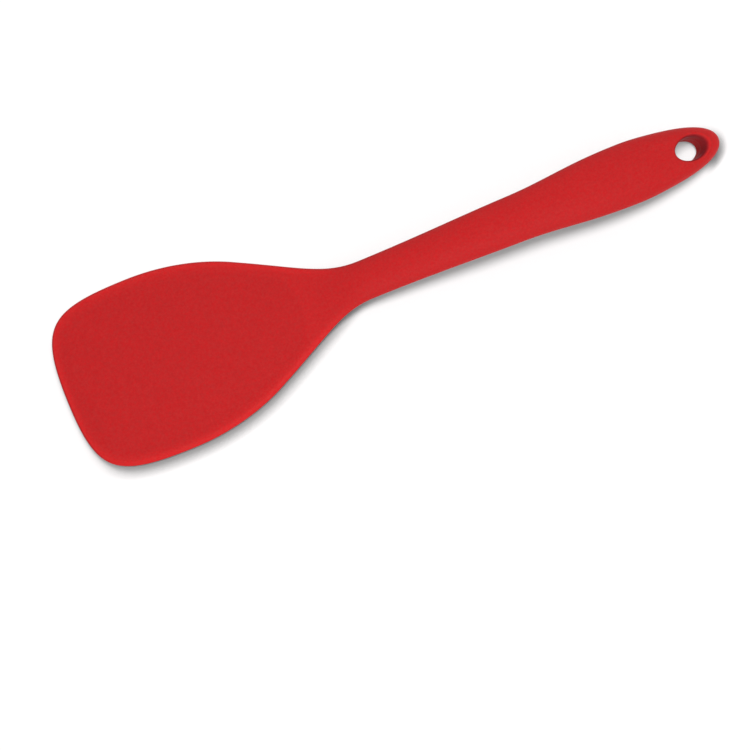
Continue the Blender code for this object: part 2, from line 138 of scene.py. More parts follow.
def edge_distance(along, across):
    """Distance in plan from places on the tool to its outline, worked out in handfuls to save memory."""
    start = OUTLINE[:-1]
    way = OUTLINE[1:] - start
    length_squared = (way ** 2).sum(axis=1)
    places = np.stack([np.ravel(along), np.abs(np.ravel(across))], axis=1)
    distances = []
    for handful in np.array_split(places, max(1, len(places) // HANDFUL)):
        offset = handful[:, None, :] - start
        share = np.clip((offset * way).sum(axis=2) / length_squared, 0.0, 1.0)
        distances.append(np.linalg.norm(offset - share[:, :, None] * way, axis=2).min(axis=1))
    return np.concatenate(distances).reshape(np.shape(along))


blade_middle = np.array([BLADE_WIDEST]), np.array([0.0])
print(f"the middle of the blade is {float(edge_distance(*blade_middle)[0]) / MM:.1f} mm in from the edge")

# %% [markdown]
# The sides, the rounding and the finish all run smoothly from one value to the next. A node group or a curve
# object could do that, but two small functions are enough: one curve through several values that never swings
# past them, and one soft step.

# %% Smooth curve and soft step
def smooth_through(places, values, at):
    """A smooth curve through a few values, with no overshoot between them."""
    places = np.array(places)
    values = np.array(values)
    rise = np.diff(values) / np.diff(places)
    slope = np.zeros(len(values))
    same_way = rise[:-1] * rise[1:] > 0
    mean = 2 * rise[:-1] * rise[1:] / np.where(same_way, rise[:-1] + rise[1:], 1.0)
    slope[1:-1] = np.where(same_way, mean, 0.0)
    slope[0] = rise[0]
    slope[-1] = rise[-1]
    at = np.clip(at, places[0], places[-1])
    span = np.clip(np.searchsorted(places, at, side="right") - 1, 0, len(rise) - 1)
    width = places[span + 1] - places[span]
    t = (at - places[span]) / width
    start = values[span] * (1 + 2 * t) * (1 - t) ** 2 + slope[span] * width * t * (1 - t) ** 2
    end = values[span + 1] * t ** 2 * (3 - 2 * t) + slope[span + 1] * width * t ** 2 * (t - 1)
    return start + end


def ease(start, end, at):
    """0 before start, 1 after end, and a smooth ramp between them."""
    t = np.clip((at - start) / (end - start), 0.0, 1.0)
    return t * t * (3 - 2 * t)


print("half way through a soft step:", float(ease(0.0, 1.0, 0.5)))

# %% [markdown]
# Seen from the side, the blade is a thin flat sheet. The handle arches up from it and comes down again past
# the swell, so that its end rests on the table. The photograph looks straight down, so this side is a guess.
# Two smooth curves give the upper and the lower side on the middle line. Subdivision of a rough cage would
# give such a side too, but its surface only comes near the corners of the cage, and this has to hit the CAD.

# %% Heights of the upper and the lower side
BLADE_THICKNESS = 2.7 * MM
BLADE_EDGE_HEIGHT = 1.0 * MM
FRONT_LIP_THICKNESS = 1.5 * MM
FRONT_LIP_LENGTH = 12.0 * MM
WEDGE_RISE_ABOVE = 1.1 * MM
WEDGE_RISE_BELOW = 0.3 * MM
PANEL_END = 105.5 * MM
CROWN = 230.0 * MM

# The handle: places along it, the height of its middle there and its thickness
HANDLE_SIDE = [
    (NECK, 7.3 * MM, 8.6 * MM),
    (GRIP, 11.2 * MM, 11.4 * MM),
    (CROWN, 10.6 * MM, 12.2 * MM),
    (SWELL, 9.15 * MM, 12.9 * MM),
    (NOSE, 6.5 * MM, 12.0 * MM),
    (TOOL_LENGTH, 4.65 * MM, 9.6 * MM),
]
SIDE_PLACES = [0.0, FRONT_LIP_LENGTH, SHOULDER, PANEL_END] + [spot for spot, _, _ in HANDLE_SIDE]


def underside(along):
    handle = [middle - thick / 2 for _, middle, thick in HANDLE_SIDE]
    return smooth_through(SIDE_PLACES, [0.0, 0.0, 0.0, WEDGE_RISE_BELOW] + handle, along)


def topside(along):
    handle = [middle + thick / 2 for _, middle, thick in HANDLE_SIDE]
    blade = [FRONT_LIP_THICKNESS, BLADE_THICKNESS, BLADE_THICKNESS, BLADE_THICKNESS + WEDGE_RISE_ABOVE]
    return smooth_through(SIDE_PLACES, blade + handle, along)


def handle_share(along):
    """0 on the flat blade, 1 where the neck and the handle are rounded all over."""
    return ease(SHOULDER, NECK, along)


def edge_height(along):
    """Height of the outline, where the tool is widest."""
    low = underside(along)
    tall = topside(along) - low
    blade_edge = np.minimum(BLADE_EDGE_HEIGHT, tall * 0.5)
    return low + blade_edge + (tall * 0.5 - blade_edge) * handle_share(along)


swell_thickness = topside(SWELL) - underside(SWELL)
print(f"the swell is {swell_thickness / MM:.1f} mm thick and {topside(SWELL) / MM:.1f} mm high")

# %% [markdown]
# Across the tool a rounding law fills the height between the two curves: a narrow rim on the blade, a full
# oval on the handle, a thick edge at the tip. A Bevel would round the rim as well, but it can't fade from a
# rim into an oval along the neck. The law works on two measures of a place: its distance from the outline,
# and its share of the half width. Where the upper and the lower side meet, both stand upright at the height
# of the edge, so that the skin turns round it without a crease.

# %% Rounding law
RIM_ROUND = 2.6 * MM
RIM_ROUND_UNDER = 1.0 * MM
END_ROUND = 6.0 * MM
ON_OUTLINE = 1e-7


def quarter_ellipse(share):
    """Share of the full height at a share of the way in from the edge."""
    return np.sqrt(1 - (1 - np.clip(share, 0.0, 1.0)) ** 2)


def fullness(along, across, distance, rim_reach):
    rim = quarter_ellipse(distance / rim_reach)
    oval = quarter_ellipse(1 - np.abs(across) / np.maximum(half_width(along), ON_OUTLINE))
    end = quarter_ellipse(distance / END_ROUND)
    handle = oval + (end - oval) * ease(SWELL, NOSE, along)
    full = rim + (handle - rim) * handle_share(along)
    return np.where(distance < ON_OUTLINE, 0.0, full)


print(f"a place 1 mm in from the rim has {float(quarter_ellipse(MM / RIM_ROUND)):.0%} of the full height")

# %% [markdown]
# The upper face of the blade has a shallow panel, which leaves a thin rim round it and ends in an arc towards
# the neck. It is seen only as a deeper red, so its depth is a guess. An inset and a move down would give it
# hard edges, so it is subtracted from the height instead, with a soft ramp all round.

# %% Panel and the two faces
PANEL_DEPTH = 0.15 * MM
PANEL_SIDE_MARGIN = 3.4 * MM
PANEL_FRONT_MARGIN = 1.9 * MM
PANEL_END_RADIUS = 26.0 * MM
PANEL_RAMP = 2.4 * MM


def panel_share(along, across, distance):
    """0 outside the shallow panel in the upper face of the blade, 1 on its floor."""
    past_centre = np.maximum(along - (PANEL_END - PANEL_END_RADIUS), 0.0)
    from_arc = PANEL_END_RADIUS - np.hypot(past_centre, across) * (past_centre > 0)
    side_share = ease(0.0, FRONT_LIP_LENGTH, along)
    margin = PANEL_FRONT_MARGIN + (PANEL_SIDE_MARGIN - PANEL_FRONT_MARGIN) * side_share
    return ease(0.0, PANEL_RAMP, np.minimum(distance - margin, from_arc))


def upper_surface(along, across):
    distance = edge_distance(along, across)
    edge = edge_height(along)
    rise = (topside(along) - edge) * fullness(along, across, distance, RIM_ROUND)
    return edge + rise - PANEL_DEPTH * panel_share(along, across, distance)


def lower_surface(along, across):
    distance = edge_distance(along, across)
    edge = edge_height(along)
    return edge - (edge - underside(along)) * fullness(along, across, distance, RIM_ROUND_UNDER)


print(f"panel floor {float(upper_surface(*blade_middle)[0]) / MM:.2f} mm above the table")

# %% [markdown]
# Each side of the cover starts as a flat grid, whose rows lie across the tool. They crowd at both ends, where
# the skin turns fastest. Evenly spread rows as fine as these would fill the whole tool with faces that it
# doesn't need.

# %% Rows of the grid
ACROSS_FACES = 96
FRONT_ROWS = 56
MIDDLE_ROWS = 130
TIP_ROWS = 76
FRONT_CROWDING = 2
TIP_CROWDING = 1.6


def row_places():
    """Places of the rows along the tool, with the places where the outline runs at 45 degrees."""
    step = np.diff(OUTLINE, axis=0)
    first = int(np.argmax(step[:, 0] > step[:, 1]))
    last = len(step) - int(np.argmax(step[::-1, 0] > -step[::-1, 1]))
    away = np.linspace(0, 1, FRONT_ROWS + 1) ** FRONT_CROWDING
    front = OUTLINE[first, 0] + (BLADE_WIDEST - OUTLINE[first, 0]) * away
    middle = np.linspace(BLADE_WIDEST, SWELL, MIDDLE_ROWS + 1)[1:]
    left = np.linspace(1, 0, TIP_ROWS + 1)[1:] ** TIP_CROWDING
    tip = OUTLINE[last, 0] - (OUTLINE[last, 0] - SWELL) * left
    return first, last, np.concatenate([front, middle, tip])


print("grid of", FRONT_ROWS + MIDDLE_ROWS + TIP_ROWS, "by", ACROSS_FACES, "faces")

# %% [markdown]
# The grid is pushed into the plan of the tool, with its columns crowded at both edges. The first row bulges
# forward into the front edge and the last one into the tip. A round fan of faces at the ends would need a
# pole, which pinches a soft highlight.

# %% Grid in plan
def into_plan(row_share, across_share):
    """Places on the tool for places on a flat square grid from -1 to 1."""
    first, last, rows = row_places()
    row = np.interp(row_share, np.linspace(-1, 1, len(rows)), rows)
    share = np.sin(across_share * math.pi / 2)
    front = OUTLINE[: first + 1]
    tip = OUTLINE[last:][::-1]
    front_bulge = front[-1, 0] - np.interp(np.abs(share) * front[-1, 1], front[:, 1], front[:, 0])
    tip_bulge = np.interp(np.abs(share) * tip[-1, 1], tip[:, 1], tip[:, 0]) - tip[-1, 0]
    along = row - front_bulge * (1 - ease(front[-1, 0], BLADE_WIDEST, row))
    along = along + tip_bulge * ease(NOSE, tip[-1, 0], row)
    return along, share * half_width(row)


def spots_of(bm):
    return np.array([vertex.co for vertex in bm.verts], dtype=float)


def move_all(bm, spots):
    for vertex, spot in zip(bm.verts, spots):
        vertex.co = spot


def plan_grid():
    bm = bmesh.new()
    rows = FRONT_ROWS + MIDDLE_ROWS + TIP_ROWS
    bmesh.ops.create_grid(bm, x_segments=rows, y_segments=ACROSS_FACES, size=1.0)
    flat = spots_of(bm)
    along, across = into_plan(flat[:, 0], flat[:, 1])
    move_all(bm, np.stack([along, across, np.zeros(len(along))], axis=1))
    return bm


tip_middle = into_plan(np.array([1.0]), np.array([0.0]))
print(f"the grid ends {float(tip_middle[0][0]) / MM:.1f} mm from the front edge")

# %% [markdown]
# The hanging hole is an oval spool: soft lips at both faces and a wall that leans with the end of the handle.
# The faces of the grid inside the lip are taken out, the ragged rim that is left is snapped onto the oval,
# and the faces round it are relaxed. A Boolean cut would leave slivers there, which show in a soft highlight.

# %% Snap an opening in the grid to an oval
HOLE = TOOL_LENGTH - 14.8 * MM
HOLE_LENGTH = 13.8 * MM
HOLE_WIDTH = 9.5 * MM
HOLE_LIP = 2.1 * MM
HOLE_LEAN = math.radians(17.5)
HOLE_SQUASH = HOLE_WIDTH / HOLE_LENGTH
RELAX_REACH = 1.6 * MM
RELAX_ROUNDS = 8
RELAX_SHARE = 0.5
RIM_REACH = 2.0 * MM
RIM_CLEAR = 0.5 * MM


def hole_middle(height):
    """Place along the tool of the middle of the hanging hole at a height: it leans with the end."""
    return HOLE + (height - edge_height(HOLE)) * math.tan(HOLE_LEAN)


def rim_edges(bm, inside):
    """Edges of an opening: they have one face, and lie where inside says."""
    open_edges = [edge for edge in bm.edges if edge.is_boundary]
    return [edge for edge in open_edges if inside((edge.verts[0].co + edge.verts[1].co) / 2)]


def open_oval(bm, centre, radius, squash, shift=0.0, steps=1):
    """Take the faces in an oval out of a flat grid and snap the rim to it, moved along by the shift."""
    def reach(spot):
        return math.hypot(spot.x - centre, spot.y / squash)

    def on_opening(spot):
        return reach(spot) < radius + RIM_REACH and abs(spot.y) < half_width(spot.x) - RIM_CLEAR

    def rim():
        return rim_edges(bm, on_opening)

    gone = [face for face in bm.faces if reach(face.calc_center_median()) < radius]
    bmesh.ops.delete(bm, geom=gone, context="FACES")
    if steps > 1:
        bmesh.ops.subdivide_edges(bm, edges=rim(), cuts=steps - 1)
    on_rim = {vertex for edge in rim() for vertex in edge.verts}
    for vertex in on_rim:
        angle = math.atan2(vertex.co.y / squash, vertex.co.x - centre)
        vertex.co.x = centre + shift + radius * math.cos(angle)
        vertex.co.y = radius * squash * math.sin(angle)
    near = [vertex for vertex in bm.verts
            if not vertex.is_boundary and reach(vertex.co) < radius + RELAX_REACH]
    for _ in range(RELAX_ROUNDS):
        bmesh.ops.smooth_vert(bm, verts=near, factor=RELAX_SHARE,
                              use_axis_x=True, use_axis_y=True, use_axis_z=False)
    return len(on_rim)


print(f"the hole moves {(hole_middle(float(topside(HOLE))) - hole_middle(0.0)) / MM:.1f} mm from foot to top")

# %% [markdown]
# The upper and the lower side are made as two sheets: each grid gets its openings while it is still flat, and
# is then lifted onto its surface. The upper one has the hanging hole alone, and the lower one also has the
# round mouths of the four pockets. A solid cut by cylinders would need new faces round every cut.

# %% Upper and lower sheet
PLUG_DIAMETER = 4.0 * MM
PLUG_GAP = 0.12 * MM
PLUG_RIM_STEPS = 4
TANG_END = NECK + 62.0 * MM
BEHIND_TANG = 0.6 * MM

# Places of the plugs along the tool
PLUGS = {
    "locator_plug_blade_front": 33.0 * MM,
    "locator_plug_blade_rear": 69.0 * MM,
    "locator_plug_handle_front": (GRIP + TANG_END) / 2 + BEHIND_TANG,
    "locator_plug_handle_rear": SWELL,
}


def sheet(surface, hole_height, pockets):
    """One side of the cover, as a mesh: opened in plan and then lifted to its height."""
    bm = plan_grid()
    shift = hole_middle(hole_height) - HOLE
    rim = open_oval(bm, HOLE, HOLE_LENGTH / 2 + HOLE_LIP, HOLE_SQUASH, shift=shift)
    for along in pockets:
        open_oval(bm, along, PLUG_DIAMETER / 2 + PLUG_GAP, 1.0, steps=PLUG_RIM_STEPS)
    plan = spots_of(bm)
    plan[:, 2] = surface(plan[:, 0], plan[:, 1])
    plan[:, 0] -= TOOL_LENGTH / 2
    move_all(bm, plan)
    mesh = bpy.data.meshes.new("sheet")
    bm.to_mesh(mesh)
    bm.free()
    print(f"sheet with {len(mesh.polygons)} faces, {rim} corners round the hole")
    return mesh


upper_sheet = sheet(upper_surface, float(topside(HOLE)), [])
lower_sheet = sheet(lower_surface, float(underside(HOLE)), list(PLUGS.values()))

# %% [markdown]
# The wall of the hole is a stack of rings: down through the soft lip, along the wall with a low ridge, such
# as two mould cores leave where they meet, and out through the lower lip. The ridge is a guess, too low for
# the photograph to show. Each ring in a lip follows the face of the tool there, because the faces slope and
# are rounded. A level torus would stand proud on one side.

# %% Rings of the hanging hole
LIP_RINGS = 9
WALL_RINGS = 16
RIDGE_HEIGHT = 0.18 * MM
RIDGE_SPREAD = 0.10


def lip_ring(angle, face, turn):
    """Corners of a ring in a lip: turn goes from 0 at the face of the tool to 90 degrees at the wall."""
    side = {"upper": topside, "lower": underside}[face]
    surface = {"upper": upper_surface, "lower": lower_surface}[face]
    inward = {"upper": -1, "lower": 1}[face]
    radius = HOLE_LENGTH / 2 + HOLE_LIP * (1 - math.sin(turn))
    sink = inward * HOLE_LIP * (1 - math.cos(turn))
    along = hole_middle(float(side(HOLE)) + sink) + radius * np.cos(angle)
    across = radius * HOLE_SQUASH * np.sin(angle)
    return np.stack([along - TOOL_LENGTH / 2, across, surface(along, across) + sink], axis=1)


def hole_rings(angle):
    """All rings from just inside the upper rim to the lower rim."""
    turns = [math.pi / 2 * k / LIP_RINGS for k in range(LIP_RINGS + 1)]
    upper = [lip_ring(angle, "upper", turn) for turn in turns[1:]]
    lower = [lip_ring(angle, "lower", turn) for turn in turns[::-1]]
    outward = np.stack([np.cos(angle), HOLE_SQUASH * np.sin(angle), np.zeros(len(angle))], axis=1)
    wall = []
    for share in np.linspace(0, 1, WALL_RINGS + 1)[1:-1]:
        ridge = RIDGE_HEIGHT * math.exp(-((share - 0.5) / RIDGE_SPREAD) ** 2)
        wall.append(upper[-1] * (1 - share) + lower[0] * share - outward * ridge)
    return upper + wall + lower


print("lip of", LIP_RINGS, "rings at each end of", WALL_RINGS, "rings of wall")

# %% [markdown]
# The wall grows from the upper rim of the hole, ring by ring. Every ring is one extrusion of the last, so its
# corners stay in line, and the last ring welds to the lower rim. A bridge between the two rims would be
# shorter to write, but has no rings to shape.

# %% Grow a wall from a rim
def grow_rings(bm, ring, rings):
    """Extrude an open rim once for every ring, whose corners are in the order of the layer named corner."""
    corner = bm.verts.layers.int["corner"]
    for spots in rings:
        grown = bmesh.ops.extrude_edge_only(bm, edges=ring)["geom"]
        fresh = {item for item in grown if isinstance(item, bmesh.types.BMVert)}
        for vertex in fresh:
            vertex.co = spots[vertex[corner]]
        ring = [item for item in grown if isinstance(item, bmesh.types.BMEdge)]
    return ring


def number_corners(bm, ring):
    """Number the corners of a rim in the layer named corner, and give their places in that order."""
    corner = bm.verts.layers.int.get("corner") or bm.verts.layers.int.new("corner")
    vertices = sorted({vertex for edge in ring for vertex in edge.verts}, key=lambda vertex: vertex.index)
    for number, vertex in enumerate(vertices):
        vertex[corner] = number
    return np.array([vertex.co for vertex in vertices], dtype=float)


def sink_hole(bm):
    """Grow the wall of the hanging hole down from the upper rim to the lower one."""
    middle = float(edge_height(HOLE))
    centre = hole_middle(float(topside(HOLE))) - TOOL_LENGTH / 2
    reach = HOLE_LENGTH / 2 + 2 * HOLE_LIP
    ring = rim_edges(bm, lambda spot: spot.z > middle and math.hypot(spot.x - centre, spot.y) < reach)
    spots = number_corners(bm, ring)
    rings = hole_rings(np.arctan2(spots[:, 1] / HOLE_SQUASH, spots[:, 0] - centre))
    grow_rings(bm, ring, rings)
    print(f"wall of the hole: {len(rings)} rings of {len(spots)} corners")


print(f"the hole is {HOLE_LENGTH / MM:.1f} mm long and {HOLE_WIDTH / MM:.1f} mm wide")

# %% [markdown]
# Pins can hold the core of such a tool in the middle of its mould. They leave round holes in the underside,
# which are closed with small silicone plugs. The photograph doesn't show the underside, so the four here are
# a guess. In the cover each is a pocket with a softened mouth, grown from its rim as the wall of the hanging
# hole is. A painted circle would do from afar, but not for a mesh that is kept.

# %% Pockets of the plugs
POCKET_LIP = 0.06 * MM


def sink_pocket(bm, node, along):
    """Grow a pocket up from its round opening in the underside, and close it over the plug."""
    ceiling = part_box(node)[1].z + PLUG_GAP
    centre = along - TOOL_LENGTH / 2
    reach = PLUG_DIAMETER
    ring = rim_edges(bm, lambda spot: math.hypot(spot.x - centre, spot.y) < reach)
    mouth = number_corners(bm, ring)
    wall = mouth.copy()
    wall[:, 0] = centre + (mouth[:, 0] - centre) * (1 - POCKET_LIP / PLUG_DIAMETER)
    wall[:, 1] = mouth[:, 1] * (1 - POCKET_LIP / PLUG_DIAMETER)
    wall[:, 2] = mouth[:, 2] + POCKET_LIP
    top = wall.copy()
    top[:, 2] = ceiling
    bmesh.ops.edgeloop_fill(bm, edges=grow_rings(bm, ring, [wall, top]))
    print(f"pocket at {along / MM:.1f} mm with {len(mouth)} corners")


print("pockets to sink:", len(PLUGS))

# %% [markdown]
# The two sheets meet in the outline, where their corners are welded. The cover rides on the one body of the
# tool and stands for the plain cover of the CAD model. It could be one solid from the start, but two sheets
# are easier to open and to lift, and the weld leaves nothing to see.

# %% Moulded cover
WELD = 1e-6
SHARP_ANGLE = math.radians(38)


def finished(bm, name, node):
    """Close the shape, give it smooth faces and seat it on the tool in place of a CAD node."""
    bmesh.ops.remove_doubles(bm, verts=bm.verts, dist=WELD)
    bmesh.ops.recalc_face_normals(bm, faces=bm.faces)
    open_edges = len([edge for edge in bm.edges if not edge.is_manifold])
    mesh = bpy.data.meshes.new(name)
    bm.to_mesh(mesh)
    bm.free()
    mesh.shade_smooth()
    mesh.set_sharp_from_angle(angle=SHARP_ANGLE)
    piece = bpy.data.objects.new(name, mesh)
    bpy.context.scene.collection.objects.link(piece)
    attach(piece, "root")
    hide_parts(node)
    print(f"{name}: {len(mesh.polygons)} faces, {open_edges} open edges")
    return piece


def moulded_cover():
    bm = bmesh.new()
    for mesh in (upper_sheet, lower_sheet):
        bm.from_mesh(mesh)
        bpy.data.meshes.remove(mesh)
    bmesh.ops.remove_doubles(bm, verts=bm.verts, dist=WELD)
    bm.verts.index_update()
    sink_hole(bm)
    bmesh.ops.remove_doubles(bm, verts=bm.verts, dist=WELD)
    bm.verts.index_update()
    for node, along in PLUGS.items():
        sink_pocket(bm, node, along)
    bm.verts.layers.int.remove(bm.verts.layers.int["corner"])
    return finished(bm, "moulded_cover", "silicone_cover")


cover = moulded_cover()

# %% [markdown]
# The silicone is painted lighter where its rim is thin, round the blade and at the tip: painted light, for
# the light that passes through the thin skin and falls on the tip. It is painted deeper in a line about a
# millimetre wide along the front and the far side, on the edges that turn away from the light: painted shade,
# and partly a dark outline left by sharpening. Both are in the colour, so they stay where they are under any
# light. Each corner of the cover keeps this as a measure for the finish. A painted map could hold it too, but
# a value at each corner needs no unwrapping.

# %% Measure of the painted light and shade on the rim
PAINTED_RIM_LIGHT_REACH = 3.6 * MM
PAINTED_TIP_LIGHT = 0.45
PAINTED_EDGE_SHADE = 1.45
PAINTED_EDGE_SHADE_REACH = 1.1 * MM
PAINTED_FRONT_SHADE_MORE = 0.6

# Away from the light in plan, how far an edge turns that way where its painted shade starts and where it is
# full, and the sideways share below which a normal counts as upright
FROM_LIGHT = (-0.71, 0.71)
TURNED_FROM = (-0.2, 0.6)
UPRIGHT = 0.01


def keep_measure(mesh, name, values):
    measure = mesh.attributes.new(name, "FLOAT", "POINT")
    measure.data.foreach_set("value", np.asarray(values, dtype=np.float32))
    print(f"{name}: {values.min():.2f} to {values.max():.2f}")


corners = np.array([vertex.co for vertex in cover.data.vertices], dtype=float)
along = corners[:, 0] + TOOL_LENGTH / 2
distance = edge_distance(along, corners[:, 1])
blade_share = 1 - ease(PANEL_END, NECK, along)
painted_rim_light = (1 - ease(0.0, PAINTED_RIM_LIGHT_REACH, distance)) * blade_share
painted_rim_light += PAINTED_TIP_LIGHT * ease(HOLE, TOOL_LENGTH - HOLE_LIP, along)
outward = np.array([vertex.normal.xy for vertex in cover.data.vertices])
outward /= np.maximum(np.linalg.norm(outward, axis=1, keepdims=True), UPRIGHT)
turned_away = ease(*TURNED_FROM, outward @ FROM_LIGHT)
painted_edge_shade = PAINTED_EDGE_SHADE * (1 - ease(0.0, PAINTED_EDGE_SHADE_REACH, distance)) * turned_away
painted_edge_shade *= 1 + PAINTED_FRONT_SHADE_MORE * np.maximum(-outward[:, 0], 0.0)
# The measure named rim is painted light on the thin rim and tip, less painted shade on edges turned from the
# light
keep_measure(cover.data, "rim", painted_rim_light - painted_edge_shade)

# %% [markdown]
# The floor of the panel is a little deeper in colour than its rim. The wall of the hanging hole is painted
# much darker than the faces, as painted shade, and less so towards the table. Two more measures say where
# they are.
# A mask drawn by hand could do it too, but would have to be drawn again after every change of a size.

# %% Measures of the panel and of the painted shade in the hole
BORE_DARK_FROM = 0.8
BORE_FADE = (0.1, 0.7)


def bore_share(along, across, height):
    """Painted shade in the hanging hole at a corner: 1 on the upper wall, less below it and 0 on the faces.
    """
    from_axis = np.hypot(along - hole_middle(height), across / HOLE_SQUASH)
    inner, outer = (HOLE_LENGTH / 2 + share * HOLE_LIP for share in BORE_FADE)
    above_table = ease(0.0, BORE_DARK_FROM * topside(HOLE), height)
    return (1 - ease(inner, outer, from_axis)) * above_table


upper_half = corners[:, 2] > edge_height(along)
keep_measure(cover.data, "panel", panel_share(along, corners[:, 1], distance) * upper_half)
keep_measure(cover.data, "bore", bore_share(along, corners[:, 1], corners[:, 2]))

# %% [markdown]
# A plug is a short round pin with a softened edge and a shallow dimple, as if it was pressed home.
# It could be spun from a profile, but a cylinder as tall as its CAD node, bevelled and inset, needs no
# profile to be drawn. Its lower face then follows the underside of the tool.

# %% Flush plugs
PLUG_SEGMENTS = 48
PLUG_EDGE = 0.15 * MM
PLUG_FOOT = 1.5 * PLUG_EDGE
DIMPLE_RIM = 0.7 * MM
DIMPLE_STEP = 0.3 * MM
DIMPLE_DEPTH = 0.08 * MM


def lower_face(bm):
    return min(bm.faces, key=lambda face: (round(face.calc_center_median().z, 7), -face.calc_area()))


def flush_plug(node, along):
    low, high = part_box(node)
    bm = bmesh.new()
    bmesh.ops.create_cone(bm, cap_ends=True, segments=PLUG_SEGMENTS, radius1=PLUG_DIAMETER / 2,
                          radius2=PLUG_DIAMETER / 2, depth=high.z - low.z,
                          matrix=Matrix.Translation((low + high) / 2))
    bmesh.ops.bevel(bm, geom=list(lower_face(bm).edges), offset=PLUG_EDGE, offset_type="OFFSET", segments=3,
                    profile=0.5, affect="EDGES", material=-1)
    bmesh.ops.inset_region(bm, faces=[lower_face(bm)], thickness=DIMPLE_RIM)
    dimple = lower_face(bm)
    bmesh.ops.inset_region(bm, faces=[dimple], thickness=DIMPLE_STEP)
    bmesh.ops.translate(bm, verts=dimple.verts, vec=(0.0, 0.0, DIMPLE_DEPTH))
    level = float(underside(along))
    for vertex in bm.verts:
        if vertex.co.z < low.z + PLUG_FOOT:
            below = lower_surface(np.array([vertex.co.x + TOOL_LENGTH / 2]), np.array([vertex.co.y]))
            vertex.co.z += float(below[0]) - level
    return finished(bm, node.replace("locator", "flush"), node)


plugs = [flush_plug(node, along) for node, along in PLUGS.items()]

# %% [markdown]
# A finish is a small graph of nodes. Written as Python expressions it reads like the rule that it follows.
# This class wraps a number that comes out of a node, so that each + - * or < adds one Math node. The nodes
# could be made and linked one by one, but then a rule of one line takes ten.

# %% Numbers in a graph
class Value:
    """A number out of a node. Each operator adds one Math node."""

    def __init__(self, graph, socket):
        self.graph = graph
        self.socket = socket

    def math(self, operation, *numbers):
        node = self.graph.node("ShaderNodeMath", {"operation": operation}, dict(enumerate(numbers)))
        return Value(self.graph, node.outputs["Value"])

    def __add__(self, other):
        return self.math("ADD", self, other)

    def __radd__(self, other):
        return self.math("ADD", other, self)

    def __sub__(self, other):
        return self.math("SUBTRACT", self, other)

    def __rsub__(self, other):
        return self.math("SUBTRACT", other, self)

    def __mul__(self, other):
        return self.math("MULTIPLY", self, other)

    def __rmul__(self, other):
        return self.math("MULTIPLY", other, self)

    def __lt__(self, other):
        return self.math("LESS_THAN", self, other)


value_methods = [name.strip("_") for name in vars(Value) if callable(getattr(Value, name))]
print("a value can:", ", ".join(value_methods))

# %% [markdown]
# Any other node is built by one method, from its type, its settings and its sockets. Materials and the world
# are both graphs of such nodes, so they share this class. The Light Path node says what kind of ray looks at
# a point, which lets the table and the sky be white to the eye alone.

# %% Graphs of nodes
class Graph:
    """The nodes of a material or of the world."""

    def __init__(self, owner):
        owner.use_nodes = True
        self.tree = owner.node_tree

    def join(self, node, sockets):
        """Set or link sockets of a node, by name or by number."""
        for key, value in sockets.items():
            if isinstance(value, Value):
                value = value.socket
            if isinstance(value, bpy.types.NodeSocket):
                self.tree.links.new(value, node.inputs[key])
            else:
                node.inputs[key].default_value = value

    def node(self, kind, settings=None, sockets=None):
        node = self.tree.nodes.new(kind)
        for key, value in (settings or {}).items():
            setattr(node, key, value)
        self.join(node, sockets or {})
        return node

    def ray(self, name):
        """What the Light Path node says of the ray that looks at this point."""
        return Value(self, self.node("ShaderNodeLightPath").outputs[name])

    def shown(self):
        """1 for rays that show this point to the eye, also in gloss or through glass, and 0 for others."""
        shown = self.ray("Is Camera Ray")
        for kind in ("Is Glossy Ray", "Is Transmission Ray"):
            shown = shown.math("MAXIMUM", shown, self.ray(kind))
        return shown


print("a graph can:", ", ".join(name for name in vars(Graph) if not name.startswith("_")))

# %% [markdown]
# Every material here has one Principled shader, and takes its patterns from noise on Object coordinates or
# from the measures of the cover. Object coordinates are in metres, so a pattern keeps its real size on every
# piece. A UV map would need seams, and the cover has none.

# %% Finishes
class Finish(Graph):
    """A material with one Principled shader."""

    def __init__(self, name, **constants):
        self.material = bpy.data.materials.new(name)
        super().__init__(self.material)
        self.shader = self.tree.nodes["Principled BSDF"]
        self.join(self.shader, {key.replace("_", " "): value for key, value in constants.items()})
        self.place = self.node("ShaderNodeTexCoord").outputs["Object"]

    def noise(self, per_metre, detail=2.0, stretch=(1.0, 1.0, 1.0)):
        """Cloudy noise on Object coordinates, with so many clouds to the metre, stretched where asked."""
        mapping = self.node("ShaderNodeMapping", None, {"Vector": self.place, "Scale": stretch})
        node = self.node("ShaderNodeTexNoise", None,
                         {"Vector": mapping.outputs["Vector"], "Scale": per_metre, "Detail": detail})
        return Value(self, node.outputs["Fac"])

    def measure(self, name):
        """A measure that is kept with the mesh."""
        return Value(self, self.node("ShaderNodeAttribute", {"attribute_name": name}).outputs["Fac"])

    def smooth_step(self, value, start, end):
        node = self.node("ShaderNodeMapRange", {"interpolation_type": "SMOOTHSTEP"},
                         {"Value": value, "From Min": start, "From Max": end})
        return Value(self, node.outputs["Result"])

    def mix(self, factor, first, second):
        """A colour between two, which are plain colours or come out of other nodes."""
        first, second = [(*end, 1.0) if isinstance(end, tuple) else end for end in (first, second)]
        node = self.node("ShaderNodeMix", {"data_type": "RGBA"}, {"Factor": factor, "A": first, "B": second})
        return node.outputs["Result"]

    def bump(self, height, depth):
        """Relief of a depth in metres."""
        node = self.node("ShaderNodeBump", None, {"Height": height, "Strength": 1.0, "Distance": depth})
        return node.outputs["Normal"]

    def surface(self, colour, **others):
        """Give the shader its colour and other patterns, and say how many nodes the finish took."""
        self.join(self.shader, {"Base Color": colour, **others})
        print(f"{self.material.name}: {len(self.tree.nodes)} nodes")


print("a finish can:", ", ".join(name for name in vars(Finish) if not name.startswith("_")))
